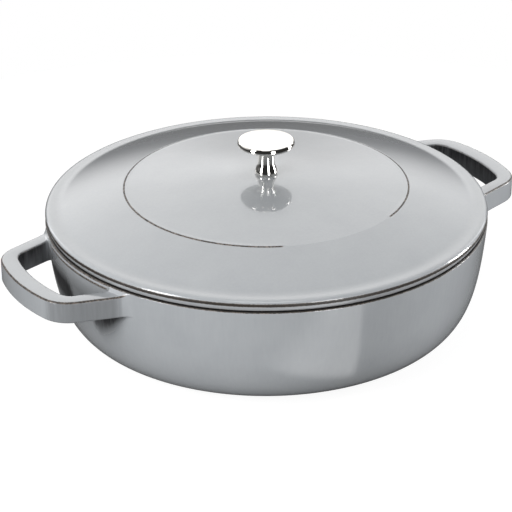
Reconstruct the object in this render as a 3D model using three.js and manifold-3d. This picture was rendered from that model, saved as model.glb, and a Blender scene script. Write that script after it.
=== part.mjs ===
// Round enamelled cast iron casserole with a domed lid.
// Millimetres, +Z up, origin at the centre of the base, handles along X.
import * as THREE from 'three';
import { mergeVertices } from 'three/addons/utils/BufferGeometryUtils.js';
import Module from 'manifold-3d';

const wasm = await Module();
wasm.setup();

// Pot: a shell of revolution
const rimRadius = 145.2; // outside, at the rim
const potHeight = 74.3;
const baseRadius = 101.4; // flat face that the pot stands on
const wallDraft = 4.65; // degrees from upright
const wallThickness = 4.6;
const baseThickness = 5.2;
const wallFullness = 0.76; // share of the way to the heel corner that the wall holds its line
const heelFullness = 0.89; // the same for the base
const rimRound = 1.2; // rounding on both edges of the rim

// Handles: two flat-topped loops cast with the pot
const handleReach = 37.2; // from the rim to the outside of the grip bar
const handleDrop = 3; // top face below the rim
const handleThickness = 14.6;
const rootHalfWidth = 50.4; // half the width over the arms, level with the rim
const armTaper = 16.7; // degrees that each arm leans towards the X axis
const armWidth = 10;
const barWidth = 12;
const barHalfLength = 28; // half the bowed stretch of the grip bar, outside
const barBow = 3.3; // how far the bar bulges over that stretch
const loopHalfLength = 26; // half the bowed stretch inside the loop
const handleCorner = 12; // run of the rounded corner along an arm, outside
const loopCorner = 5; // the same, inside the loop
const handleEdge = 1.6; // rounding along the edges of the section
const rootFillet = 4; // where an arm meets the wall, at its sides and on top

// Lid: a shallow dome with a flattened rim
const rimLedge = 1.5; // pot rim that shows outside the foot of the lid's edge
const lidFlare = 1.3; // growth of the lid's edge from its foot to its sharp corner
const lidEdgeHeight = 4.1; // from the foot to the sharp corner
const lidSeatGap = 0.3; // between the pot's rim and the lid
const lidShoulder = 3; // rise of the rounded shoulder above the sharp corner
const shoulderRun = 3.6; // width of that rounding
const rimFlat = 2.4; // level stretch of the lid's rim
const rimHollow = 6; // width of the hollow curve from the dome to the rim
const lidRise = 22.5; // top of the dome above the sharp corner
const crownRun = 18; // length over which the dome leaves its level middle
const discRun = 40; // stretch inside the ring that keeps one slope
const discSlope = 6.2; // degrees, inside the ring
const bandSlope = 12.4; // degrees, just outside the ring
const edgeSlope = 17.4; // degrees, by the rim
const bandRun = 13; // stretch that holds each of the outer slopes
const lidThickness = 4.8;
const skirtClearance = 1.2; // between the lid's skirt and the mouth of the pot
const skirtDepth = 4;
const skirtWidth = 3.6;

// Fine ring sunk in the top of the lid, left out over a stretch at the front
const ringRadius = 93.1;
const ringWidth = 1.6;
const ringDepth = 0.8;
const ringRise = 14.4; // dome at the ring, above the sharp corner
const ringGap = 51; // degrees

// Knob
const knobHeight = 24.6;
const knobFootRadius = 7.4;
const knobNeckRadius = 5.5;
const knobHeadRadius = 18.7;
const knobHeadDepth = 3.6; // thickness of the head at its edge
const knobHeadEdge = 0.9; // rounding of that edge
const knobCrown = 0.9; // rise of the head's top
const footRound = 1.3; // rounding under the foot
const footFlare = 7.6; // height at which the foot has narrowed to the neck
const headFlare = 6; // height over which the neck widens to the head

// Screw and washers that hold the knob
const screwRadius = 2.5;
const screwReach = 10; // depth in the knob
const screwGap = 0.3; // around the shank
const screwTipGap = 1;
const screwHeadRadius = 4.7;
const screwHeadHeight = 3;
const screwHeadRound = 1;
const slotWidth = 1.2;
const slotDepth = 1.4;
const washerRadius = 7;
const washerThickness = 1.2;
const lockWasherRadius = 4.5;
const lockWasherThickness = 1.3;
const lockWasherSplit = 0.8;

// Facets
const castingSides = 64;
const knobSides = 28;
const screwSides = 16;
const curveSteps = 8; // along a wall or a dome
const roundSteps = 3; // along a short rounding
const outlineSteps = 6; // in each curve of a handle's outline, even so that the tip is on it
const edgeSteps = 2; // across a rounded edge
const weld = 1e-4; // corners closer than this are one

// Sizes that follow from those above
const radians = THREE.MathUtils.degToRad;
const mouthRadius = rimRadius - wallThickness;
const handleTop = potHeight - handleDrop;
const handleTip = rimRadius + handleReach;
const armSlope = Math.tan(radians(armTaper));
const footRadius = rimRadius - rimLedge;
const lidRadius = footRadius + lidFlare;
const lidFoot = potHeight + lidSeatGap;
const lidCorner = lidFoot + lidEdgeHeight;
const lidRim = lidCorner + lidShoulder;
const lidTop = lidCorner + lidRise;
const lidUnder = lidTop - lidThickness;
const skirtRadius = mouthRadius - skirtClearance;
const holeRadius = screwRadius + screwGap;
const seatRadius = Math.max(washerRadius, knobFootRadius) + screwGap; // level spot round the hole

const at = (x, y) => new THREE.Vector2(x, y);

// A closed mesh as a solid that can be joined and cut
function solid(geometry) {
  const bare = geometry.clone();
  bare.deleteAttribute('normal');
  bare.deleteAttribute('uv');
  const merged = mergeVertices(bare, weld);
  const index = merged.index.array;
  const faces = [];
  for (let i = 0; i < index.length; i += 3) {
    const [a, b, c] = index.slice(i, i + 3);
    if (a !== b && b !== c && c !== a) faces.push(a, b, c);
  }
  return new wasm.Manifold(new wasm.Mesh({
    numProp: 3,
    vertProperties: new Float32Array(merged.attributes.position.array),
    triVerts: new Uint32Array(faces),
  }));
}

function geometryOf(body) {
  const { vertProperties, triVerts } = body.getMesh();
  const geometry = new THREE.BufferGeometry();
  geometry.setAttribute('position', new THREE.BufferAttribute(vertProperties, 3));
  geometry.setIndex(new THREE.BufferAttribute(triVerts, 1));
  geometry.computeVertexNormals();
  return geometry;
}

// A profile of (radius, height) points turned about Z
function turned(points, sides) {
  return new THREE.LatheGeometry(points, sides).rotateX(Math.PI / 2);
}

function tube(inner, outer, low, high, sides) {
  return turned([at(inner, low), at(outer, low), at(outer, high), at(inner, high), at(inner, low)], sides);
}

function rod(radius, low, high, sides) {
  return turned([at(0, low), at(radius, low), at(radius, high), at(0, high)], sides);
}

function rounding(from, corner, to) {
  return new THREE.QuadraticBezierCurve(from, corner, to).getPoints(roundSteps);
}

// Wall of the pot from its base to its rim: two straights eased into each other at the heel
function wallCurve(topRadius, flatHeight) {
  const rim = at(topRadius, potHeight);
  const lean = (potHeight - flatHeight) * Math.tan(radians(wallDraft));
  const corner = at(topRadius - lean, flatHeight);
  const flat = at(baseRadius, flatHeight);
  const heel = flat.clone().lerp(corner, heelFullness);
  const wall = rim.clone().lerp(corner, wallFullness);
  return new THREE.CubicBezierCurve(flat, heel, wall, rim).getPoints(curveSteps);
}

// The same wall with its top edge rounded towards side +1, outwards, or -1, inwards
function wallToRim(topRadius, flatHeight, side) {
  const wall = wallCurve(topRadius, flatHeight);
  const edge = wall.pop();
  const below = wall.at(-1);
  const start = edge.clone().lerp(below, rimRound / edge.distanceTo(below));
  return [...wall, ...rounding(start, edge, at(edge.x + side * rimRound, potHeight))];
}

function potOutside() {
  return turned([at(0, 0), ...wallToRim(rimRadius, 0, -1), at(0, potHeight)], castingSides);
}

function potInside() {
  const wall = wallToRim(mouthRadius, baseThickness, 1);
  const above = potHeight + wallThickness;
  const opening = [at(wall.at(-1).x, above), at(0, above)];
  return turned([at(0, baseThickness), ...wall, ...opening], castingSides);
}

// One closed line of a handle seen from above: a bowed bar, two arms, and a flare where each arm
// meets the wall, to side +1, outside the arms, or -1, inside. Outside, its end runs on into the
// pot; inside, a chord of the wall closes it
function loopLine(path, tip, halfLength, halfWidth, cornerRun, side) {
  const bow = barBow * (halfLength / barHalfLength) ** 2;
  const reach = halfWidth + armSlope * rimRadius;
  const armAt = (x) => reach - armSlope * x;
  const barEnd = at(tip - bow, halfLength);
  const lean = (2 * bow) / halfLength;
  const cornerX = (barEnd.x - lean * (reach - halfLength)) / (1 - lean * armSlope);
  const corner = at(cornerX, armAt(cornerX));
  const armEnd = at(cornerX - cornerRun, armAt(cornerX - cornerRun));

  // Arm and wall meet on the wall's circle at the foot of the handle, where the draft has drawn it in
  const wall = rimRadius - (handleDrop + handleThickness) * Math.tan(radians(wallDraft));
  const square = 1 + armSlope ** 2;
  const rootX = (reach * armSlope + Math.sqrt(square * wall ** 2 - reach ** 2)) / square;
  const root = at(rootX, armAt(rootX));
  const flareStart = at(rootX + rootFillet, armAt(rootX + rootFillet));
  const flareY = root.y + side * rootFillet;
  const flareEnd = at(Math.sqrt(wall ** 2 - flareY ** 2), flareY);

  const buried = (1 + side) * armWidth;
  const end = at(flareEnd.x - buried, flareEnd.y + buried);
  path.moveTo(end.x, -end.y);
  path.lineTo(flareEnd.x, -flareEnd.y);
  path.quadraticCurveTo(root.x, -root.y, flareStart.x, -flareStart.y);
  path.lineTo(armEnd.x, -armEnd.y);
  path.quadraticCurveTo(corner.x, -corner.y, barEnd.x, -barEnd.y);
  path.quadraticCurveTo(tip + bow, 0, barEnd.x, barEnd.y);
  path.quadraticCurveTo(corner.x, corner.y, armEnd.x, armEnd.y);
  path.lineTo(flareStart.x, flareStart.y);
  path.quadraticCurveTo(root.x, root.y, flareEnd.x, flareEnd.y);
  path.lineTo(end.x, end.y);
  path.closePath();
  return path;
}

// Plan of a handle, its material drawn in by an inset on every side
function handlePlan(inset) {
  const across = armWidth / Math.cos(radians(armTaper));
  const outside = new THREE.Shape();
  loopLine(outside, handleTip - inset, barHalfLength, rootHalfWidth - inset, handleCorner, 1);
  const loopTip = handleTip - barWidth + inset;
  outside.holes.push(
    loopLine(new THREE.Path(), loopTip, loopHalfLength, rootHalfWidth - across + inset, loopCorner, -1),
  );
  return outside;
}

function handle() {
  const bar = new THREE.ExtrudeGeometry(handlePlan(0), {
    depth: handleThickness - 2 * handleEdge,
    curveSegments: outlineSteps,
    bevelThickness: handleEdge,
    bevelSize: handleEdge,
    bevelOffset: -handleEdge,
    bevelSegments: edgeSteps,
  });
  return solid(bar.translate(0, 0, handleTop - handleThickness + handleEdge));
}

// Hollow fillet that rises from the top of each arm to the rim
function rootRise() {
  const low = handleTop - handleEdge;
  const high = potHeight - rimRound;
  const inner = rimRadius - wallThickness / 2;
  const far = rimRadius + rootFillet;
  const hollow = rounding(at(far, handleTop), at(rimRadius, handleTop), at(rimRadius - rimRound / 2, high));
  const section = [at(inner, low), at(far, low), ...hollow, at(inner, high), at(inner, low)];
  const plan = new THREE.ExtrudeGeometry(handlePlan(handleEdge), {
    depth: handleDrop + handleEdge,
    curveSegments: outlineSteps,
    bevelEnabled: false,
  });
  return solid(turned(section, castingSides)).intersect(solid(plan.translate(0, 0, low)));
}

function potBody() {
  const right = handle().add(rootRise());
  const left = solid(geometryOf(right).rotateZ(Math.PI));
  return geometryOf(solid(potOutside()).add(right).add(left).subtract(solid(potInside())));
}

// Top of the lid from its level middle to the start of the hollow by the rim
const domeEdge = at(
  lidRadius - shoulderRun - rimFlat - rimHollow,
  lidRim + (rimHollow / 2) * Math.tan(radians(edgeSlope)),
);
const domeRing = at(ringRadius, lidCorner + ringRise);

// A point further along a slope that falls outwards
function downSlope(from, run, slope) {
  return at(from.x + run, from.y - run * Math.tan(radians(slope)));
}

const disc = new THREE.CubicBezierCurve(
  at(seatRadius, lidTop),
  at(seatRadius + crownRun, lidTop),
  downSlope(domeRing, -discRun, discSlope),
  domeRing,
);
const band = new THREE.CubicBezierCurve(
  domeRing,
  downSlope(domeRing, bandRun, bandSlope),
  downSlope(domeEdge, -bandRun, edgeSlope),
  domeEdge,
);
const dome = [...disc.getPoints(curveSteps), ...band.getPoints(curveSteps / 2).slice(1)];

function lidShell() {
  const skirtInside = skirtRadius - skirtWidth;
  const skirtFoot = lidFoot - skirtDepth;
  const under = dome.map((point) => at(point.x, point.y - lidThickness));
  const flatStart = lidRadius - shoulderRun;
  const hollowStart = flatStart - rimFlat;
  const shoulder = rounding(at(lidRadius, lidCorner), at(lidRadius, lidRim), at(flatStart, lidRim));
  const hollow = rounding(at(hollowStart, lidRim), at(hollowStart - rimHollow / 2, lidRim), domeEdge);
  return turned([
    at(holeRadius, lidUnder),
    ...under,
    at(skirtInside, under.at(-1).y),
    at(skirtInside, skirtFoot),
    at(skirtRadius, skirtFoot),
    at(skirtRadius, lidFoot),
    at(footRadius, lidFoot),
    ...shoulder,
    ...hollow,
    ...dome.slice(0, -1).reverse(),
    at(holeRadius, lidTop),
    at(holeRadius, lidUnder),
  ], castingSides);
}

function ringCut() {
  const half = ringWidth / 2;
  const ring = tube(ringRadius - half, ringRadius + half, domeRing.y - ringDepth, lidTop, castingSides);
  const spread = lidRadius * Math.tan(radians(ringGap / 2));
  const gap = new THREE.Shape([at(0, 0), at(-spread, -lidRadius), at(spread, -lidRadius)]);
  const wedge = new THREE.ExtrudeGeometry(gap, { depth: 2 * lidTop, bevelEnabled: false });
  return solid(ring).subtract(solid(wedge));
}

function lid() {
  return geometryOf(solid(lidShell()).subtract(ringCut()));
}

// The knob stands on its foot at height zero
function knob() {
  const headTop = knobHeight - knobCrown;
  const headFoot = headTop - knobHeadDepth;
  const face = knobHeadRadius - knobHeadEdge;
  const middle = (footRound + footFlare) / 2;
  const foot = new THREE.CubicBezierCurve(
    at(knobFootRadius, footRound),
    at(knobFootRadius, middle),
    at(knobNeckRadius, middle),
    at(knobNeckRadius, footFlare),
  ).getPoints(2 * roundSteps);
  const under = rounding(at(knobFootRadius - footRound, 0), at(knobFootRadius, 0), foot[0]);
  const edgeLow = at(knobHeadRadius, headFoot + knobHeadEdge);
  const edgeHigh = at(knobHeadRadius, headTop - knobHeadEdge);
  const body = turned([
    at(0, 0),
    ...under,
    ...foot.slice(1),
    ...rounding(at(knobNeckRadius, headFoot - headFlare), at(knobNeckRadius, headFoot), at(face, headFoot)),
    ...rounding(at(face, headFoot), at(knobHeadRadius, headFoot), edgeLow).slice(1),
    ...rounding(edgeHigh, at(knobHeadRadius, headTop), at(face, headTop)),
    ...rounding(at(face, headTop), at(face / 2, knobHeight), at(0, knobHeight)).slice(1),
  ], knobSides);
  const hole = rod(holeRadius, -screwGap, screwReach + screwTipGap, screwSides);
  return geometryOf(solid(body).subtract(solid(hole)));
}

function flatWasher() {
  return tube(holeRadius, washerRadius, lidUnder - washerThickness, lidUnder, screwSides);
}

function lockWasher() {
  const outer = Math.asin(lockWasherSplit / 2 / lockWasherRadius);
  const inner = Math.asin(lockWasherSplit / 2 / holeRadius);
  const shape = new THREE.Shape();
  shape.absarc(0, 0, lockWasherRadius, outer, 2 * Math.PI - outer, false);
  shape.absarc(0, 0, holeRadius, 2 * Math.PI - inner, inner, true);
  shape.closePath();
  const ring = new THREE.ExtrudeGeometry(shape, {
    depth: lockWasherThickness,
    curveSegments: screwSides,
    bevelEnabled: false,
  });
  return ring.translate(0, 0, lidUnder - washerThickness - lockWasherThickness);
}

function knobScrew() {
  const headTop = lidUnder - washerThickness - lockWasherThickness;
  const headFoot = headTop - screwHeadHeight;
  const edge = rounding(
    at(screwHeadRadius - screwHeadRound, headFoot),
    at(screwHeadRadius, headFoot),
    at(screwHeadRadius, headFoot + screwHeadRound),
  );
  const tip = lidTop + screwReach;
  const body = turned([
    at(0, headFoot),
    ...edge,
    at(screwHeadRadius, headTop),
    at(screwRadius, headTop),
    at(screwRadius, tip - screwGap),
    at(screwRadius - screwGap, tip),
    at(0, tip),
  ], screwSides);
  const slot = new THREE.BoxGeometry(3 * screwHeadRadius, slotWidth, 2 * slotDepth);
  return geometryOf(solid(body).subtract(solid(slot.translate(0, 0, headFoot))));
}

const enamel = { color: 0xa9acb0, roughness: 0.2, metalness: 0 };
const polished = { color: 0xd6d3cc, roughness: 0.08, metalness: 1 };
const zinc = { color: 0xb4b6b8, roughness: 0.35, metalness: 1 };

function piece(name, geometry, finish) {
  const mesh = new THREE.Mesh(geometry, new THREE.MeshStandardMaterial(finish));
  mesh.name = name;
  return mesh;
}

const knobPiece = piece('knob', knob(), polished);
knobPiece.position.z = lidTop;

const lidGroup = new THREE.Group();
lidGroup.add(
  piece('lid', lid(), enamel),
  knobPiece,
  piece('flat_washer', flatWasher(), zinc),
  piece('lock_washer', lockWasher(), zinc),
  piece('knob_screw', knobScrew(), zinc),
);

const casserole = new THREE.Group();
casserole.add(piece('pot_body', potBody(), enamel), lidGroup);

export default casserole;
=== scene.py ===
import math
from bisect import bisect_left

import bmesh
import bpy
from mathutils import Matrix, Quaternion, Vector
from mathutils.geometry import interpolate_bezier


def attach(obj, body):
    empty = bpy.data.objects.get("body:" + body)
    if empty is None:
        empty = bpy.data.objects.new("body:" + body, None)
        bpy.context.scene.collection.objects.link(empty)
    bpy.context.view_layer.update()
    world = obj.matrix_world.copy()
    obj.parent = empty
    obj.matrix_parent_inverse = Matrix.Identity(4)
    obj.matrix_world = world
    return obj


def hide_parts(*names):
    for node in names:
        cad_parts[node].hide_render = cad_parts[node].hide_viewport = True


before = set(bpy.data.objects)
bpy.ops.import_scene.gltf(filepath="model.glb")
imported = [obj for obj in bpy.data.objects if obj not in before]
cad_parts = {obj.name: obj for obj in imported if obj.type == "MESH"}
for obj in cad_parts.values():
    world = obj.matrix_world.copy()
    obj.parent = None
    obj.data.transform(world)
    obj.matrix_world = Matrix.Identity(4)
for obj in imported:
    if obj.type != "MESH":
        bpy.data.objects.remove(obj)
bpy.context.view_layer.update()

mm = 0.001
scene = bpy.context.scene
scene.view_settings.view_transform = "Standard"
print("frame:", ", ".join(sorted(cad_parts)))


def hexColor(code):  # sRGB hex to linear
    channels = [int(code[i:i + 2], 16) / 255 for i in (1, 3, 5)]
    return [c / 12.92 if c <= 0.04045 else ((c + 0.055) / 1.055) ** 2.4 for c in channels] + [1]


def addNode(tree, kind, settings={}, links={}):
    node = tree.nodes.new(kind)
    for key, value in settings.items():
        if isinstance(key, int) or key in node.inputs:
            node.inputs[key].default_value = value
        else:
            setattr(node, key, value)
    for key, socket in links.items():
        tree.links.new(socket, node.inputs[key])
    return node


def startMaterial(name, sockets):
    material = bpy.data.materials.new(name)
    material.use_nodes = True
    tree = material.node_tree
    shader = tree.nodes["Principled BSDF"]
    for key, value in sockets.items():
        shader.inputs[key].default_value = value
    return material, tree, shader


def perMetre(size):  # noise scale for a pattern of that many millimetres
    return 1 / (size * mm)


# Glossy vitreous enamel on cast iron, sprayed and fired: a deep clear gloss over cloudy grey, faint runs down the
# walls, brown iron showing where the glaze drew back from a sharp edge, and painted shade: a dull near-black coat
# drawn inside the handle loops, under the arms, behind one half of each loop and round the foot, where shade falls
greyEnamel = {
    # lean: the near-black colour of the painted shade
    "deep": "#9ea2a6", "pale": "#b0b3b6", "thin": "#2f2a26", "scant": "#7d736b", "lean": "#1e1e20",
    "cloud": 24, "run": 1.6, "peel": 2.6, "grit": 0.9, "speck": 1.4,  # pattern sizes, mm
}


def makeGreyEnamel(look):
    material, tree, shader = startMaterial("greyVitreousEnamel", {
        "IOR": 1.5, "Coat Roughness": 0.03, "Coat IOR": 1.5,
    })
    place = addNode(tree, "ShaderNodeTexCoord").outputs["Object"]
    cloud = addNode(tree, "ShaderNodeTexNoise", {"Scale": perMetre(look["cloud"]), "Detail": 4}, {"Vector": place})
    tall = addNode(tree, "ShaderNodeMapping", {"Scale": (1, 1, 0.09)}, {"Vector": place})
    run = addNode(tree, "ShaderNodeTexNoise", {"Scale": perMetre(look["run"]), "Detail": 2},
                  {"Vector": tall.outputs[0]})
    mottle = addNode(tree, "ShaderNodeMix", {0: 0.35}, {2: cloud.outputs["Fac"], 3: run.outputs["Fac"]})
    grey = addNode(tree, "ShaderNodeMix", {
        "data_type": "RGBA", 6: hexColor(look["deep"]), 7: hexColor(look["pale"]),
    }, {0: mottle.outputs[0]})
    # painted shade mask, streaked along the runs: it mixes the grey towards the lean colour and dulls the gloss
    lean = addNode(tree, "ShaderNodeAttribute", {"attribute_name": "paintedShade"})
    streak = addNode(tree, "ShaderNodeMapRange", {"From Min": 0.3, "From Max": 0.7, "To Min": 0.9, "To Max": 1.1},
                     {"Value": run.outputs["Fac"]})
    streakyShade = addNode(tree, "ShaderNodeMath", {"operation": "MULTIPLY", "use_clamp": True},
                      {0: lean.outputs["Fac"], 1: streak.outputs[0]})
    shadedGrey = addNode(tree, "ShaderNodeMix", {"data_type": "RGBA", 7: hexColor(look["lean"])},
                      {0: streakyShade.outputs[0], 6: grey.outputs[2]})
    thin = addNode(tree, "ShaderNodeAttribute", {"attribute_name": "thinEnamel"})
    grit = addNode(tree, "ShaderNodeTexNoise", {"Scale": perMetre(look["grit"]), "Detail": 3}, {"Vector": place})
    ragged = addNode(tree, "ShaderNodeMath", {"operation": "MULTIPLY_ADD", 1: 0.9, 2: -0.45},
                     {0: grit.outputs["Fac"]})
    worn = addNode(tree, "ShaderNodeMath", {"operation": "ADD"}, {0: thin.outputs["Fac"], 1: ragged.outputs[0]})
    edge = addNode(tree, "ShaderNodeMapRange", {
        "interpolation_type": "SMOOTHSTEP", "From Min": 0.25, "From Max": 0.75,
    }, {"Value": worn.outputs[0]})
    specks = addNode(tree, "ShaderNodeTexNoise", {"Scale": perMetre(look["speck"]), "Detail": 2}, {"Vector": place})
    bare = addNode(tree, "ShaderNodeMapRange", {"From Min": 1.1, "From Max": 1.4, "To Min": 1, "To Max": 0},
                   {"Value": thin.outputs["Fac"]})
    mixed = addNode(tree, "ShaderNodeMapRange", {"From Min": 0.42, "From Max": 0.62}, {
        "Value": specks.outputs["Fac"], "To Max": bare.outputs[0],
    })
    iron = addNode(tree, "ShaderNodeMix", {
        "data_type": "RGBA", 6: hexColor(look["thin"]), 7: hexColor(look["scant"]),
    }, {0: mixed.outputs[0]})
    colour = addNode(tree, "ShaderNodeMix", {"data_type": "RGBA"},
                     {0: edge.outputs[0], 6: shadedGrey.outputs[2], 7: iron.outputs[2]})
    dull = addNode(tree, "ShaderNodeMath", {"operation": "MAXIMUM"}, {0: edge.outputs[0], 1: streakyShade.outputs[0]})
    rough = addNode(tree, "ShaderNodeMapRange", {"To Min": 0.2, "To Max": 0.5}, {"Value": dull.outputs[0]})
    glaze = addNode(tree, "ShaderNodeMapRange", {"To Min": 1, "To Max": 0.1}, {"Value": dull.outputs[0]})
    peel = addNode(tree, "ShaderNodeTexNoise", {"Scale": perMetre(look["peel"]), "Detail": 2}, {"Vector": place})
    bump = addNode(tree, "ShaderNodeBump", {"Strength": 0.05, "Distance": 0.0004}, {"Height": peel.outputs["Fac"]})
    tree.links.new(colour.outputs[2], shader.inputs["Base Color"])
    tree.links.new(rough.outputs[0], shader.inputs["Roughness"])
    tree.links.new(glaze.outputs[0], shader.inputs["Coat Weight"])
    tree.links.new(bump.outputs[0], shader.inputs["Normal"])
    return material


# Satin black enamel, the cooking surface: fired rough, so it is nearly black with a soft grainy sheen
blackEnamel = {"deep": "#141415", "pale": "#29292b", "grain": 0.8, "cloud": 12}


def makeBlackEnamel(look):
    material, tree, shader = startMaterial("satinBlackEnamel", {"IOR": 1.5})
    place = addNode(tree, "ShaderNodeTexCoord").outputs["Object"]
    grain = addNode(tree, "ShaderNodeTexNoise", {"Scale": perMetre(look["grain"]), "Detail": 3}, {"Vector": place})
    cloud = addNode(tree, "ShaderNodeTexNoise", {"Scale": perMetre(look["cloud"]), "Detail": 3}, {"Vector": place})
    black = addNode(tree, "ShaderNodeMix", {
        "data_type": "RGBA", 6: hexColor(look["deep"]), 7: hexColor(look["pale"]),
    }, {0: grain.outputs["Fac"]})
    sheen = addNode(tree, "ShaderNodeMapRange", {"To Min": 0.36, "To Max": 0.52}, {"Value": cloud.outputs["Fac"]})
    bump = addNode(tree, "ShaderNodeBump", {"Strength": 0.25, "Distance": 0.0002}, {"Height": grain.outputs["Fac"]})
    tree.links.new(black.outputs[2], shader.inputs["Base Color"])
    tree.links.new(sheen.outputs[0], shader.inputs["Roughness"])
    tree.links.new(bump.outputs[0], shader.inputs["Normal"])
    return material


# Polished stainless steel, turned and buffed: a clean mirror with a warm cast
buffedSteel = {"bright": "#efede9", "shade": "#e3e0da", "haze": 6}


def makePolishedSteel(look):
    material, tree, shader = startMaterial("polishedStainlessSteel", {"Metallic": 1})
    place = addNode(tree, "ShaderNodeTexCoord").outputs["Object"]
    haze = addNode(tree, "ShaderNodeTexNoise", {"Scale": perMetre(look["haze"]), "Detail": 4}, {"Vector": place})
    tone = addNode(tree, "ShaderNodeMix", {
        "data_type": "RGBA", 6: hexColor(look["bright"]), 7: hexColor(look["shade"]),
    }, {0: haze.outputs["Fac"]})
    polish = addNode(tree, "ShaderNodeMapRange", {"To Min": 0.02, "To Max": 0.05}, {"Value": haze.outputs["Fac"]})
    tree.links.new(tone.outputs[2], shader.inputs["Base Color"])
    tree.links.new(polish.outputs[0], shader.inputs["Roughness"])
    return material


# Zinc plated steel: a dull bluish metal with a fine crystal mottle
zincSteel = {"bright": "#c3c7cb", "dull": "#989ca0", "spangle": 0.7}


def makeZincSteel(look):
    material, tree, shader = startMaterial("zincPlatedSteel", {"Metallic": 1})
    place = addNode(tree, "ShaderNodeTexCoord").outputs["Object"]
    spangle = addNode(tree, "ShaderNodeTexNoise", {"Scale": perMetre(look["spangle"]), "Detail": 3},
                      {"Vector": place})
    tone = addNode(tree, "ShaderNodeMix", {
        "data_type": "RGBA", 6: hexColor(look["dull"]), 7: hexColor(look["bright"]),
    }, {0: spangle.outputs["Fac"]})
    satin = addNode(tree, "ShaderNodeMapRange", {"To Min": 0.25, "To Max": 0.45}, {"Value": spangle.outputs["Fac"]})
    tree.links.new(tone.outputs[2], shader.inputs["Base Color"])
    tree.links.new(satin.outputs[0], shader.inputs["Roughness"])
    return material


enamel = makeGreyEnamel(greyEnamel)
cookingEnamel = makeBlackEnamel(blackEnamel)
steel = makePolishedSteel(buffedSteel)
zinc = makeZincSteel(zincSteel)
print("materials:", len(bpy.data.materials))


def curve(points, steps):  # Bezier through 3 or 4 control points, both ends included
    knots = [Vector((x, y, 0)) for x, y in points]
    if len(knots) == 3:
        start, pull, end = knots
        knots = [start, start.lerp(pull, 2 / 3), end.lerp(pull, 2 / 3), end]
    return [(p.x, p.y) for p in interpolate_bezier(*knots, steps + 1)]


def along(line, x):  # second value of a line of pairs, which rise in the first, where the first is x
    i = min(max(bisect_left(line, (x,)), 1), len(line) - 1)
    (x0, y0), (x1, y1) = line[i - 1], line[i]
    return y0 + (y1 - y0) * min(max((x - x0) / (x1 - x0), 0), 1)


def ease(value, low, high):
    t = min(max((value - low) / (high - low), 0), 1)
    return t * t * (3 - 2 * t)


def addTurned(bm, angle):  # a copy of everything, turned about Z
    made = bmesh.ops.duplicate(bm, geom=bm.verts[:] + bm.edges[:] + bm.faces[:])["geom"]
    bmesh.ops.rotate(bm, verts=[g for g in made if isinstance(g, bmesh.types.BMVert)], cent=(0, 0, 0),
                     matrix=Matrix.Rotation(angle, 3, "Z"))


def spun(profiles, steps):  # profiles of (radius, height) in mm turned about Z, each in its own material
    bm = bmesh.new()
    for index, profile in enumerate(profiles):
        verts = [bm.verts.new((r * mm, 0, z * mm)) for r, z in profile]
        edges = [bm.edges.new(pair) for pair in zip(verts, verts[1:])]
        known = len(bm.faces)
        bmesh.ops.spin(bm, geom=verts + edges, cent=(0, 0, 0), axis=(0, 0, 1),
                       angle=math.tau / 8, steps=steps // 8)
        bm.faces.ensure_lookup_table()
        for face in bm.faces[known:]:
            face.material_index = index
    for share in (8, 4, 2):  # an eighth of the round, doubled three times
        addTurned(bm, math.tau / share)
    bmesh.ops.remove_doubles(bm, verts=bm.verts, dist=1e-6)
    bmesh.ops.recalc_face_normals(bm, faces=bm.faces)
    return bm


def radiusHeight(point):  # in mm
    return math.hypot(point.x, point.y) / mm, point.z / mm


def markThin(bm, lines):  # lines of (radius, height, half width, strength) where the glaze is thin
    layer = bm.verts.layers.float.new("thinEnamel")
    for vert in bm.verts:
        r, z = radiusHeight(vert.co)
        for radius, height, half, strength in lines:
            near = 1 - math.hypot(r - radius, z - height) / (2 * half)
            if near > 0:
                vert[layer] = max(vert[layer], min(strength, 2 * near * strength))
    return layer


def finishPiece(bm, name, materials, body, node, crease=38):
    mesh = bpy.data.meshes.new(name)
    bm.to_mesh(mesh)
    bm.free()
    mesh.shade_smooth()
    mesh.set_sharp_from_angle(angle=math.radians(crease))
    for material in materials:
        mesh.materials.append(material)
    piece = bpy.data.objects.new(name, mesh)
    scene.collection.objects.link(piece)
    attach(piece, body)
    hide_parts(node)
    print(name, len(mesh.polygons), "faces")


potSize = {
    "rim": 145.2, "height": 74.3, "base": 101.4, "draft": 4.65, "wall": 4.6, "floor": 5.2,
    "wallHold": 0.76, "heelHold": 0.89, "rimRound": 1.2, "standing": 4,  # standing: bare edge of the base
    "bead": 0.6, "beadHalf": 0.9, "beadSpan": 15.5,  # seam ridge inside each loop, mm, mm, degrees
    "shadeAbove": 14, "shadeBelow": 34,  # reach of the painted shade from the underside of the arms
    "steps": 288,
}


def potWall(size, top, flat):  # base to rim
    lean = (size["height"] - flat) * math.tan(math.radians(size["draft"]))
    corner = Vector((top - lean, flat))
    foot = Vector((size["base"], flat))
    rim = Vector((top, size["height"]))
    return curve([foot, foot.lerp(corner, size["heelHold"]), rim.lerp(corner, size["wallHold"]), rim], 160)


outerWall = potWall(potSize, potSize["rim"], 0)
risingWall = [(z, r) for r, z in outerWall]


def wallRadius(height):  # outside of the pot
    return along(risingWall, height)


def potProfiles(size):  # outside in grey enamel, then inside and base in black
    inner = potWall(size, size["rim"] - size["wall"], size["floor"])
    high, turn = size["height"], size["rimRound"]

    def upTo(wall, side):  # thinned out, then closely spaced below the rim, then rounded over
        rising = [(z, r) for r, z in wall]
        low = [p for p in wall[::4] if p[1] < high - 9]
        dense = [(along(rising, z), z) for z in (high - 9 + 0.3 * i for i in range(27))]
        start, edge = dense[-1], wall[-1]
        return low + dense[:-1] + curve([start, edge, (edge[0] - side * turn, high)], 8)

    outside, inside = upTo(outerWall, 1), upTo(inner, -1)
    standing = (size["base"] - size["standing"], 0)
    return [[standing, *outside], [outside[-1], *reversed(inside), (0, size["floor"])], [(0, 0), standing]]


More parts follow.
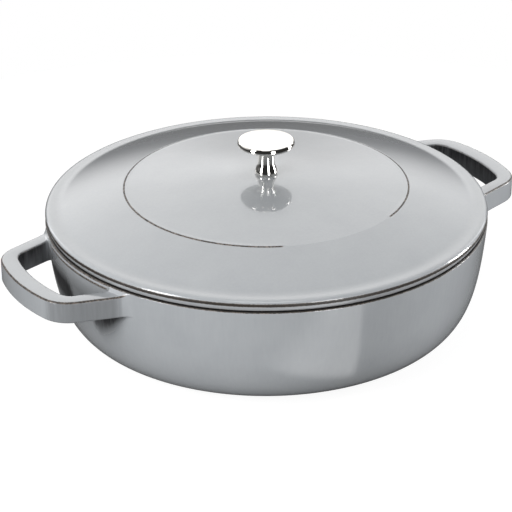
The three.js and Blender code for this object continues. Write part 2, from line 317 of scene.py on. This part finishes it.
handleSize = {
    "tip": 182.4, "bar": 12, "bow": 3.3, "barHalf": 28, "loopHalf": 26, "corner": 13, "loopCorner": 5,
    "rootHalf": 50.4, "arm": 10, "taper": 16.7, "top": 71.3, "thick": 14.6,
    "edge": 1.5, "flare": 4.4, "rise": 2.2, "riseRun": 5, "buried": 2.4, "armShade": 0.4,
}


def loopLine(size, tip, half, rootHalf, cornerRun, side):  # one side of the loop seen from above
    slope = math.tan(math.radians(size["taper"]))
    reach = rootHalf + slope * potSize["rim"]
    onArm = lambda x: Vector((x, reach - slope * x))
    bow = size["bow"] * (half / size["barHalf"]) ** 2
    barEnd = Vector((tip - bow, half))
    lean = 2 * bow / half
    corner = onArm((barEnd.x - lean * (reach - half)) / (1 - lean * slope))
    wall = wallRadius(size["top"] - size["thick"])
    square = 1 + slope ** 2
    root = onArm((reach * slope + math.sqrt(square * wall ** 2 - reach ** 2)) / square)
    flareY = root.y + side * size["flare"]
    flareEnd = Vector((math.sqrt(wall ** 2 - flareY ** 2), flareY))
    flareStart = onArm(root.x + size["flare"])
    armEnd = onArm(corner.x - cornerRun)
    line = curve([flareEnd, root, flareStart], 10)
    line += [tuple(flareStart.lerp(armEnd, i / 6)) for i in range(1, 6)]
    line += curve([armEnd, corner, barEnd], 14)
    line += curve([barEnd, ((barEnd.x + tip + bow) / 2, half / 2), (tip, 0)], 10)[1:]
    deep = 1 - size["buried"] / wall
    line.insert(0, (flareEnd.x * deep, flareEnd.y * deep))
    return [(x, -y) for x, y in line] + [(x, y) for x, y in reversed(line[:-1])]


def barSection(width, low, high, edge):  # rounded oblong as (across, height, thin, lean), from inside the loop; lean is painted shade, darkest on the loop's inner faces
    section = []
    for across, height, turn, thin, lean in (
            (edge, low + edge, 180, 0, (0.66, 0.46)), (width - edge, low + edge, 270, 0, (0, 0)),
            (width - edge, high - edge, 0, 1.3, (0.06, 0)), (edge, high - edge, 90, 0.45, (0, 1))):
        for i in range(7):
            angle = math.radians(turn + 15 * i)
            section.append((across + edge * math.cos(angle), height + edge * math.sin(angle),
                            thin * (1 - ease(abs(i - 3), 0.8, 2.6)), lean[0] + (lean[1] - lean[0]) * ease(i, 2, 5)))
    return section


def makeHandles(size):
    bm = bmesh.new()
    thinLayer = bm.verts.layers.float.new("thinEnamel")
    shadeLayer = bm.verts.layers.float.new("paintedShade")
    slanted = size["arm"] / math.cos(math.radians(size["taper"]))
    outer = loopLine(size, size["tip"], size["barHalf"], size["rootHalf"], size["corner"], 1)
    inner = loopLine(size, size["tip"] - size["bar"], size["loopHalf"], size["rootHalf"] - slanted,
                     size["loopCorner"], -1)
    foot = size["top"] - size["thick"]
    wall = wallRadius(foot)
    loops = []
    for outside, inside in zip(outer, inner):
        start, end = Vector(inside), Vector(outside)
        width = (end - start).length
        clear = 1 - (start.lerp(end, 0.5).length - wall) / size["riseRun"]
        swell = min(max(clear, 0), 1) ** 2  # 1 at the wall, where the top rises to the rim
        loop = []
        for across, z, thin, lean in barSection(width, foot, size["top"] + size["rise"] * swell, size["edge"]):
            spot = start.lerp(end, across / width)
            hug = min(max(1 - (spot.length - wall) / size["flare"], 0), 1)  # the flare follows the drafted wall
            spot *= 1 + hug * (wallRadius(z) - wall) / spot.length
            vert = bm.verts.new((spot.x * mm, spot.y * mm, z * mm))
            vert[thinLayer] = thin * (1 - swell)
            # painted shade inside the loop and on the arms' outer sides, fading out where the arm flares into the
            # wall
            onArm = ease(spot.y, size["barHalf"], size["barHalf"] + 8) * ease(across, width - size["edge"], width)
            vert[shadeLayer] = (lean + size["armShade"] * onArm) * (1 - ease(hug, 0, 0.3))
            loop.append(vert)
        loops.append([bm.edges.new((a, b)) for a, b in zip(loop, loop[1:] + loop[:1])])
    for one, two in zip(loops, loops[1:]):
        bmesh.ops.bridge_loops(bm, edges=one + two)
    addTurned(bm, math.pi)
    bmesh.ops.recalc_face_normals(bm, faces=bm.faces)
    mesh = bpy.data.meshes.new("handles")
    bm.to_mesh(mesh)
    bm.free()
    return mesh


# Painted shade on the wall: a cast shadow under each arm, a shadow behind one half of each loop, and a darkening
# round the foot
def paintShade(bm, size):
    layer = bm.verts.layers.float.new("paintedShade")
    foot = handleSize["top"] - handleSize["thick"]
    for vert in bm.verts:
        r, z = radiusHeight(vert.co)
        aside, deep = abs(vert.co.y) / mm, foot - z
        if r > size["rim"] - 14 and -size["shadeAbove"] < deep < size["shadeBelow"]:
            armShadow = 0
            if deep > -1:
                start, end = 7.5 + 0.6 * deep, 50.5 - 0.9 * deep
                wedge = ease(aside, start, start + 3) * (1 - ease(aside, end - 0.5 * deep, end + 0.5 * deep + 1))
                armShadow = wedge * (1 - ease(deep, 8, size["shadeBelow"]))
            sideways = math.copysign(vert.co.y / mm, -vert.co.x * vert.co.y)  # painted shadow: one half of the wall behind each loop is darker
            start = 3 - 0.6 * deep
            half = ease(sideways, start - 1, start + 5) * (1 - ease(sideways, 30, 45))
            vert[layer] = max(armShadow, half * ease(deep, -12, 5) * (1 - ease(deep, 11, 24)))
        elif z < 5 and r > size["base"] - size["standing"] - 1:  # painted shade, darker towards the bottom of the foot
            vert[layer] = 1 - ease(z, 1, 5)


def buildPot(size):
    bm = spun(potProfiles(size), size["steps"])
    layer = markThin(bm, [(size["rim"] - 1, size["height"] - 0.1, 0.6, 1.5)])
    level = handleSize["top"]
    for vert in bm.verts:  # a thinly glazed ledge and a fine ridge along the wall between the arms
        r, z = radiusHeight(vert.co)
        if r > size["rim"] - 1.5 and abs(z - level) < size["height"] - level + 0.1:
            bearing = math.degrees(math.atan2(abs(vert.co.y), abs(vert.co.x)))
            ledge = ease(z, size["height"] - 1.4, size["height"] - 0.7) * (1 - ease(bearing, 20, 23))
            vert[layer] = max(vert[layer], ledge)
            amount = 1 - ease(bearing, size["beadSpan"] - 1, size["beadSpan"] + 1)
            shape = 1 - ease(abs(z - level), 0, 2 * size["beadHalf"])
            vert.co.xy *= 1 + size["bead"] * amount * shape / r
            vert[layer] = max(vert[layer], 0.9 * amount * ease(shape, 0.4, 0.9))
    paintShade(bm, size)
    handles = makeHandles(handleSize)
    bm.from_mesh(handles)
    bpy.data.meshes.remove(handles)
    finishPiece(bm, "potCasting", [enamel, cookingEnamel, cookingEnamel], "pot", "pot_body")


lidSize = {
    "foot": 143.7, "footHeight": 74.6, "edge": 145, "edgeHeight": 78.7, "shoulder": 3, "shoulderRun": 3.6,
    "flat": 2.4, "hollow": 6, "rise": 22.5, "crownRun": 18, "discRun": 40, "discSlope": 6.2,
    "bandRun": 13, "bandSlope": 12.4, "edgeSlope": 17.4,  # slopes in degrees, inside and outside the ring
    "thick": 4.8, "hole": 2.8, "seat": 7.7, "skirt": 139.4, "skirtWidth": 3.6, "skirtDepth": 4,
    "ring": 93.1, "ringRise": 14.4, "ringBand": 2.8, "ringLift": 0.26, "ringDepth": 0.35, "ringGap": 51,
    "steps": 360,
}


def lidTopLine(size):  # listed outwards
    rim = size["edgeHeight"] + size["shoulder"]
    top = size["edgeHeight"] + size["rise"]
    fall = lambda run, key: run * math.tan(math.radians(size[key]))
    flatStart = size["edge"] - size["shoulderRun"]
    hollowStart = flatStart - size["flat"]
    ring = (size["ring"], size["edgeHeight"] + size["ringRise"])
    domeEnd = (hollowStart - size["hollow"], rim + fall(size["hollow"] / 2, "edgeSlope"))
    disc = curve([(size["seat"], top), (size["seat"] + size["crownRun"], top),
                  (ring[0] - size["discRun"], ring[1] + fall(size["discRun"], "discSlope")), ring], 60)
    band = curve([ring, (ring[0] + size["bandRun"], ring[1] - fall(size["bandRun"], "bandSlope")),
                  (domeEnd[0] - size["bandRun"], domeEnd[1] + fall(size["bandRun"], "edgeSlope")), domeEnd], 30)
    hollow = curve([domeEnd, (hollowStart - size["hollow"] / 2, rim), (hollowStart, rim)], 12)
    shoulder = curve([(flatStart, rim), (size["edge"], rim), (size["edge"], size["edgeHeight"])], 12)
    return [(size["hole"], top), *disc, *band[1:], *hollow[1:], *shoulder]


def lidProfiles(size, top):  # outside in grey enamel, then the underside in black
    dense = [size["ring"] - 6 + 0.2 * i for i in range(46)]  # radii close enough for the ring's step
    outside = [p for p in top if p[0] < dense[0] - 0.5] + [(r, along(top, r)) for r in dense]
    outside += [p for p in top if p[0] > dense[-1] + 0.5]
    inside, low = size["skirt"] - size["skirtWidth"], size["footHeight"] - size["skirtDepth"]
    under = [(r, z - size["thick"]) for r, z in top if r < inside - 4][::3]
    foot, high = size["footHeight"], size["edgeHeight"]
    outside += [
        *reversed(curve([(size["foot"] + 0.25, foot + 0.7), (size["edge"] - 0.1, foot + 2.2),
                         (size["edge"], high)], 10)[1:-1]),
        *reversed(curve([(size["foot"] - 0.7, foot), (size["foot"], foot), (size["foot"] + 0.25, foot + 0.7)], 6)),
    ]
    underside = [
        outside[0], *under,
        *curve([under[-1], (inside, under[-1][1] - 1.2), (inside, under[-1][1] - 5)], 6)[1:],
        *curve([(inside, low + 0.8), (inside, low), (inside + 0.8, low)], 4),
        *curve([(size["skirt"] - 0.8, low), (size["skirt"], low), (size["skirt"], low + 0.8)], 4),
        *curve([(size["skirt"], foot - 0.6), (size["skirt"], foot), (size["skirt"] + 0.6, foot)], 4),
        outside[-1],
    ]
    return [outside, underside]


def shapeRing(bm, layer, size, top):  # a flattened band that ends in a sharp little step, left out at the front
    inner, outer = size["ring"] - size["ringBand"], size["ring"] + 1
    slope = size["ringLift"] / size["ringBand"]
    for vert in bm.verts:
        r, z = radiusHeight(vert.co)
        if not inner < r < outer or z < along(top, r) - 1:
            continue
        fromFront = math.degrees(abs(math.atan2(vert.co.x, -vert.co.y)))
        if fromFront < size["ringGap"] / 2:
            continue
        if r < size["ring"]:
            rounded = ease(r, size["ring"] - 0.9, size["ring"] + 0.2)
            vert.co.z += mm * ((r - inner) * slope * (1 - rounded) - size["ringDepth"] * rounded)
        else:
            vert.co.z -= mm * size["ringDepth"] * (1 - ease(r, size["ring"] + 0.1, outer))
        vert[layer] = max(vert[layer], 1 - ease(abs(r - size["ring"]), 0.3, 0.8))


def buildLid(size):
    top = lidTopLine(size)
    bm = spun(lidProfiles(size, top), size["steps"])
    layer = markThin(bm, [
        (size["edge"] - 0.1, size["edgeHeight"] + 0.25, 0.62, 1.5),
        (size["foot"], size["footHeight"], 0.42, 1.5),
    ])
    shapeRing(bm, layer, size, top)
    finishPiece(bm, "lidCasting", [enamel, cookingEnamel], "lid", "lid")


knobSize = {"base": 101.2, "steps": 128}


def buildKnob(size):
    profile = [
        (0, 11), (2.8, 11), (2.8, 0),
        *curve([(6.1, 0), (7.2, 0.1), (7.4, 1.3)], 8),
        *curve([(7.4, 1.3), (7.4, 3.4), (5.9, 5.4), (5.6, 7.6)], 16)[1:],
        *curve([(5.6, 7.6), (5.4, 9.6), (5.4, 12.4)], 8)[1:],
        *curve([(5.4, 12.4), (5.4, 17), (8.5, 19.4), (13, 19.8)], 16)[1:],
        *curve([(13, 19.8), (15.5, 20.05), (17.4, 20.1)], 4)[1:],
        *curve([(17.4, 20.1), (18.7, 20.15), (18.7, 21.2)], 8)[1:],
        *curve([(18.7, 21.2), (18.65, 22.6), (18.05, 23.4)], 8)[1:],
        *curve([(18.05, 23.4), (17.85, 23.68), (17.5, 23.72)], 4)[1:],
        *curve([(17.5, 23.72), (9, 24.6), (0, 24.6)], 12)[1:],
    ]
    bm = spun([[(r, z + size["base"]) for r, z in profile]], size["steps"])
    finishPiece(bm, "turnedKnob", [steel], "lid", "knob")


screwSize = {"under": 96.4, "plain": 1.2, "spring": 1.3, "head": 4.7, "headHigh": 3, "shank": 2.5, "tip": 111.2,
             "slot": 1.2, "slotDeep": 1.4, "steps": 64}


def buildWashers(size):
    low = size["under"] - size["plain"]
    plain = [(2.8, low), *curve([(6.6, low), (7, low), (7, low + 0.4)], 4),
             *curve([(7, size["under"] - 0.3), (7, size["under"]), (6.7, size["under"])], 3),
             (2.8, size["under"]), (2.8, low)]
    finishPiece(spun([plain], size["steps"]), "plainWasher", [zinc], "lid", "flat_washer")

    high, low = low, low - size["spring"]
    bm = bmesh.new()
    section = [bm.verts.new((r * mm, 0, z * mm)) for r, z in ((2.8, low), (4.5, low), (4.5, high), (2.8, high))]
    face = bm.faces.new(section)
    gap = math.radians(10)  # the split of the spring washer
    bmesh.ops.rotate(bm, verts=section, cent=(0, 0, 0), matrix=Matrix.Rotation(gap / 2, 3, "Z"))
    bmesh.ops.spin(bm, geom=[face, *face.edges, *section], cent=(0, 0, 0), axis=(0, 0, 1),
                   angle=math.tau - gap, steps=size["steps"])
    bmesh.ops.recalc_face_normals(bm, faces=bm.faces)
    finishPiece(bm, "springWasher", [zinc], "lid", "lock_washer")


def buildScrew(size):
    seat = size["under"] - size["plain"] - size["spring"]
    low = seat - size["headHigh"]
    profile = [
        (0, low), (size["head"] - 1.6, low),
        *curve([(size["head"] - 1.6, low), (size["head"], low), (size["head"], low + 1.6)], 8)[1:],
        (size["head"], seat), (size["shank"], seat), (size["shank"], size["tip"] - 0.5),
        (size["shank"] - 0.5, size["tip"]), (0, size["tip"]),
    ]
    bm = spun([profile], size["steps"])
    half = size["slot"] / 2 * mm
    floor = (low + size["slotDeep"]) * mm
    for point, normal in (((0, half, 0), (0, 1, 0)), ((0, -half, 0), (0, 1, 0)), ((0, 0, floor), (0, 0, 1))):
        bmesh.ops.bisect_plane(bm, geom=bm.verts[:] + bm.edges[:] + bm.faces[:], plane_co=point, plane_no=normal)
    middle = [f for f in bm.faces if abs(f.calc_center_median().y) < half and f.calc_center_median().z < floor]
    raised = bmesh.ops.extrude_face_region(bm, geom=middle)["geom"]
    bmesh.ops.delete(bm, geom=middle, context="FACES")
    for vert in raised:
        if isinstance(vert, bmesh.types.BMVert):
            vert.co.z = floor
    bmesh.ops.remove_doubles(bm, verts=bm.verts, dist=1e-6)
    bmesh.ops.recalc_face_normals(bm, faces=bm.faces)
    finishPiece(bm, "knobScrew", [zinc], "lid", "knob_screw", 30)


buildPot(potSize)
buildLid(lidSize)
buildKnob(knobSize)
buildWashers(screwSize)
buildScrew(screwSize)


# Studio: a white sweep behind and above the object, dark at the horizon and in front, and tall soft boxes.
# Each box has its turn from the camera and rise in degrees, its distance, width and height in metres, its watts
studio = {
    "cameraTurn": -31.5, "cameraRise": 26.3, "cameraFar": 1.446, "aim": (-0.0064, 0.00295, 0.0412),
    "roll": -0.38, "lens": 152.9,
    "boxes": {
        "topBox": (0, 72, 1.5, 0.6, 0.6, 2.8), "leftBox": (-53, 19, 1.6, 0.45, 1.2, 23),
        "middleBox": (28, 8, 1.6, 0.4, 0.8, 13), "rightBox": (106, 8, 1.6, 0.4, 0.8, 21),
        "backLeftBox": (-134, 18, 1.5, 0.25, 0.9, 0.9), "backRightBox": (134, 18, 1.5, 0.25, 0.9, 0.9),
    },
    "floor": 0.48, "floorDrop": 0.0002, "floorGlow": 0.92, "ambient": 0.03,
    # patch of floor that glows only in reflections, a painted reflection of a pale band on the wall: each side's
    # axis, where it is dark and where lit, in metres
    "pool": (
        ((1, 0.3, 0), -0.155, -0.1), ((1, 0.3, 0), -0.051, -0.061), ((0, -1, 0), 0.134, 0.15),
    ),
    "poolGlow": 1.15,
    "sky": 1.85, "spill": 0.3,  # spill: share of the sweep's light that falls on the object
    "horizon": (0.02, 0.35, 0.07),  # height where the sweep starts, where it is full, and its share below
    "sweepTurn": 199, "sweepRise": 20,  # its brightest part, in degrees, turned from the camera
}


def direction(turn, rise):  # turn 0 stands in front of the object, on -Y
    turn, rise = math.radians(turn), math.radians(rise)
    return Vector((math.sin(turn) * math.cos(rise), -math.cos(turn) * math.cos(rise), math.sin(rise)))


def addSoftbox(name, turn, rise, far, width, height, power):
    lamp = bpy.data.lights.new(name, "AREA")
    lamp.shape, lamp.size, lamp.size_y, lamp.energy = "RECTANGLE", width, height, power
    box = bpy.data.objects.new(name, lamp)
    way = direction(turn, rise)
    box.location = way * far + Vector((0, 0, 0.05))
    box.rotation_euler = way.to_track_quat("Z", "Y").to_euler()
    scene.collection.objects.link(box)


def buildStudio(look):
    camera = bpy.data.objects.new("camera", bpy.data.cameras.new("camera"))
    camera.data.lens = look["lens"]
    way = direction(look["cameraTurn"], look["cameraRise"])
    camera.location = Vector(look["aim"]) + way * look["cameraFar"]
    level = way.to_track_quat("Z", "Y")
    camera.rotation_euler = (level @ Quaternion((0, 0, 1), math.radians(look["roll"]))).to_euler()
    scene.collection.objects.link(camera)
    scene.camera = camera
    for name, (turn, *rest) in look["boxes"].items():
        addSoftbox(name, look["cameraTurn"] + turn, *rest)

    bm = bmesh.new()
    bmesh.ops.create_circle(bm, cap_ends=True, segments=96, radius=look["floor"],
                            matrix=Matrix.Translation((0, 0, -look["floorDrop"])))
    mesh = bpy.data.meshes.new("floor")
    bm.to_mesh(mesh)
    bm.free()
    floor = bpy.data.objects.new("floor", mesh)
    scene.collection.objects.link(floor)
    paper = bpy.data.materials.new("whitePaper")
    paper.use_nodes = True
    tree = paper.node_tree
    tree.nodes.clear()
    matt = addNode(tree, "ShaderNodeBsdfDiffuse", {"Color": hexColor("#707070")})
    path = addNode(tree, "ShaderNodeLightPath")
    lift = addNode(tree, "ShaderNodeMath", {"operation": "MULTIPLY", 1: look["floorGlow"]},
                   {0: path.outputs["Is Camera Ray"]})
    side = addNode(tree, "ShaderNodeNewGeometry")
    # painted reflection: the patch glows only to glossy rays
    pool = path.outputs["Is Glossy Ray"]
    for axis, dark, lit in look["pool"]:
        reach = addNode(tree, "ShaderNodeVectorMath", {"operation": "DOT_PRODUCT", 1: axis},
                        {0: side.outputs["Position"]})
        fade = addNode(tree, "ShaderNodeMapRange", {
            "interpolation_type": "SMOOTHSTEP", "From Min": dark, "From Max": lit,
        }, {"Value": reach.outputs["Value"]})
        pool = addNode(tree, "ShaderNodeMath", {"operation": "MULTIPLY"}, {0: pool, 1: fade.outputs[0]}).outputs[0]
    shine = addNode(tree, "ShaderNodeMath", {"operation": "MULTIPLY_ADD", 1: look["poolGlow"]},
                    {0: pool, 2: lift.outputs[0]})
    glow = addNode(tree, "ShaderNodeEmission", {}, {"Strength": shine.outputs[0]})
    both = addNode(tree, "ShaderNodeAddShader", {}, {0: matt.outputs[0], 1: glow.outputs[0]})
    clear = addNode(tree, "ShaderNodeBsdfTransparent")
    oneSided = addNode(tree, "ShaderNodeMixShader", {}, {  # clear from below, so the base can be looked at
        0: side.outputs["Backfacing"], 1: both.outputs[0], 2: clear.outputs[0],
    })
    addNode(tree, "ShaderNodeOutputMaterial", {}, {"Surface": oneSided.outputs[0]})
    mesh.materials.append(paper)

    scene.world = bpy.data.worlds.new("studio")
    scene.world.use_nodes = True
    tree = scene.world.node_tree
    tree.nodes.clear()
    sky = addNode(tree, "ShaderNodeTexCoord")
    up = addNode(tree, "ShaderNodeSeparateXYZ", {}, {0: sky.outputs["Generated"]})
    start, full, below = look["horizon"]
    high = addNode(tree, "ShaderNodeMapRange", {
        "interpolation_type": "SMOOTHSTEP", "From Min": start, "From Max": full, "To Min": below,
    }, {"Value": up.outputs["Z"]})
    away = direction(look["cameraTurn"] + look["sweepTurn"], look["sweepRise"])
    toward = addNode(tree, "ShaderNodeVectorMath", {"operation": "DOT_PRODUCT", 1: away},
                     {0: sky.outputs["Generated"]})
    behind = addNode(tree, "ShaderNodeMapRange", {}, {"Value": toward.outputs["Value"]})
    both = addNode(tree, "ShaderNodeMath", {"operation": "MULTIPLY"}, {0: high.outputs[0], 1: behind.outputs[0]})
    sweep = addNode(tree, "ShaderNodeMapRange", {"To Min": look["ambient"], "To Max": look["sky"]},
                    {"Value": both.outputs[0]})
    path = addNode(tree, "ShaderNodeLightPath")
    spill = addNode(tree, "ShaderNodeMapRange", {"To Min": look["spill"], "To Max": 1},
                    {"Value": path.outputs["Is Glossy Ray"]})
    falling = addNode(tree, "ShaderNodeMath", {"operation": "MULTIPLY"}, {0: sweep.outputs[0], 1: spill.outputs[0]})
    seen = addNode(tree, "ShaderNodeMix", {3: 1}, {0: path.outputs["Is Camera Ray"], 2: falling.outputs[0]})
    light = addNode(tree, "ShaderNodeBackground", {"Color": hexColor("#ffffff")}, {"Strength": seen.outputs[0]})
    addNode(tree, "ShaderNodeOutputWorld", {}, {"Surface": light.outputs[0]})
    print("studio ready")


buildStudio(studio)
